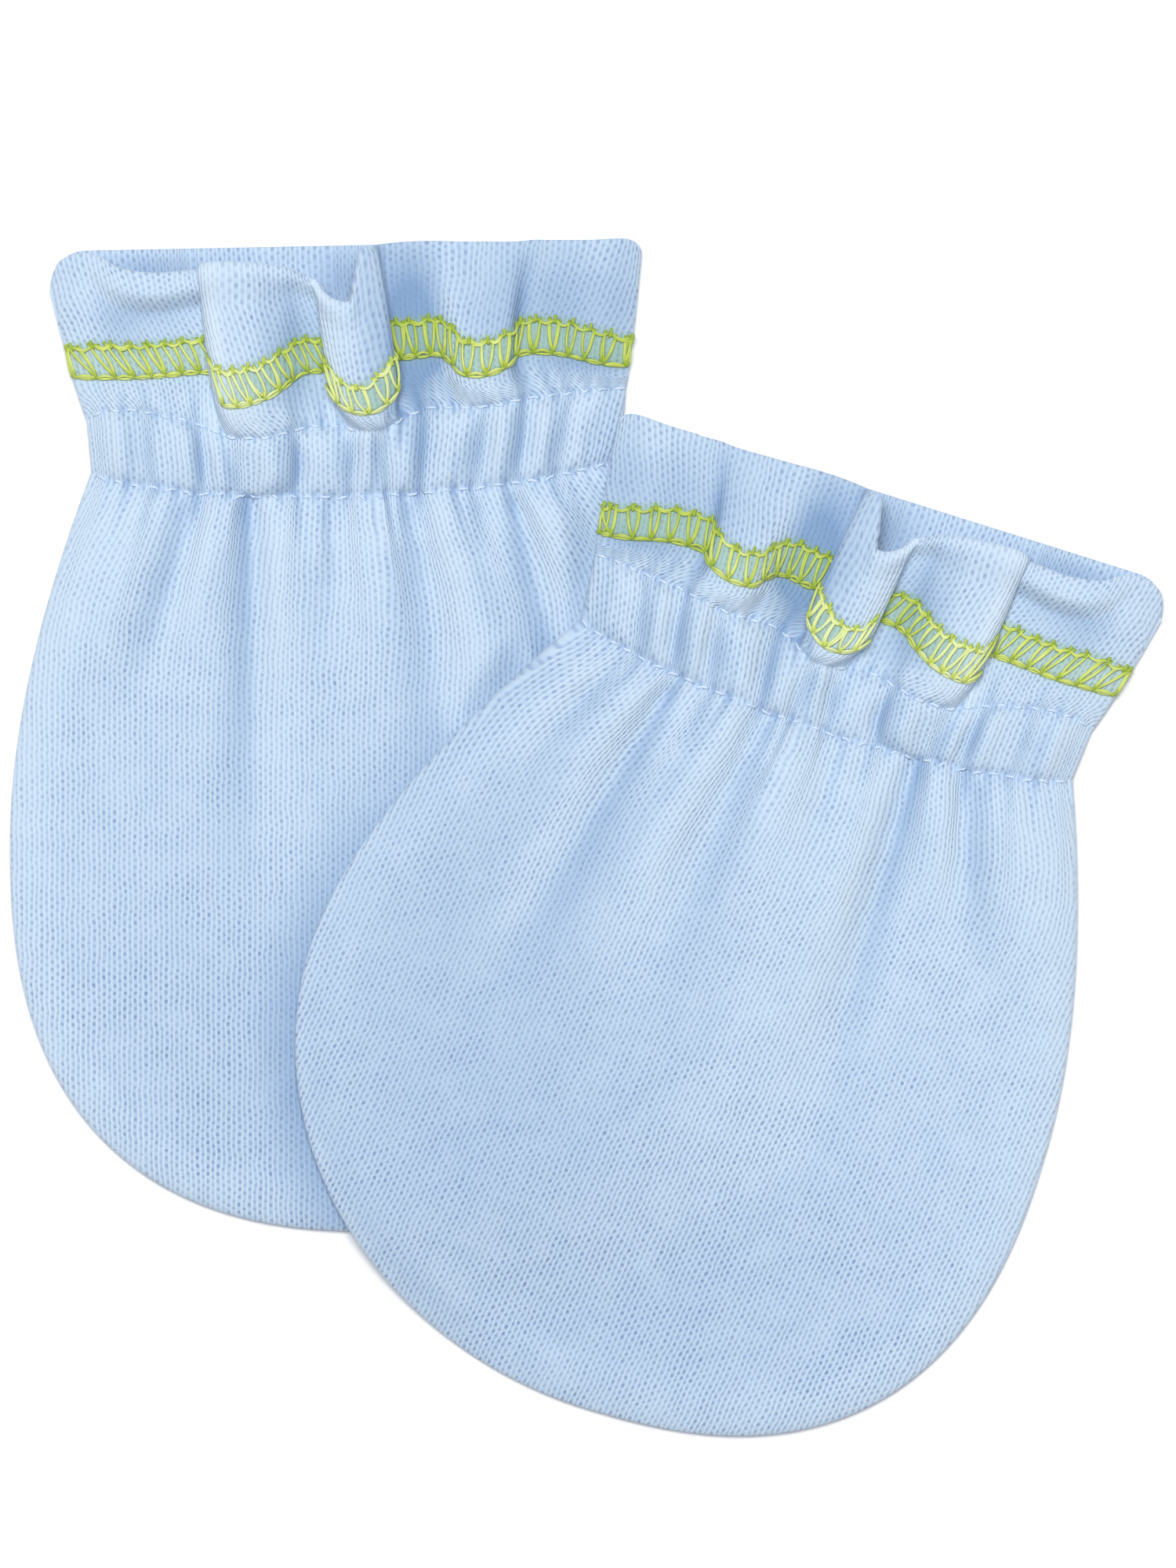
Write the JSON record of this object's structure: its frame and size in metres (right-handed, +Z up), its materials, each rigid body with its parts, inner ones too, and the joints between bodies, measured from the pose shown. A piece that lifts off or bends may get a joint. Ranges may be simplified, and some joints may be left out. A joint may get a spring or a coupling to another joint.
{
  "type": "pair of baby mittens",
  "caption": "Pair of soft knitted newborn mittens laid flat, one half over the other, each with an elastic wrist and a wavy ruffle cuff.",
  "frame": {"origin": "under the middle of the pair, on the surface it lies on", "axes": "+Z up, off the surface; +Y towards the cuffs; +X towards the second mitten, which lies over the first"},
  "size_m": [0.1176, 0.122, 0.0073],
  "materials": {
    "blue_knit": "matte fine cotton interlock knit"
  },
  "bodies": {
    "root": {"under_mitten_lower_panel": "blue_knit", "under_mitten_upper_panel": "blue_knit", "over_mitten_lower_panel": "blue_knit", "over_mitten_upper_panel": "blue_knit"}
  },
  "joints": []
}
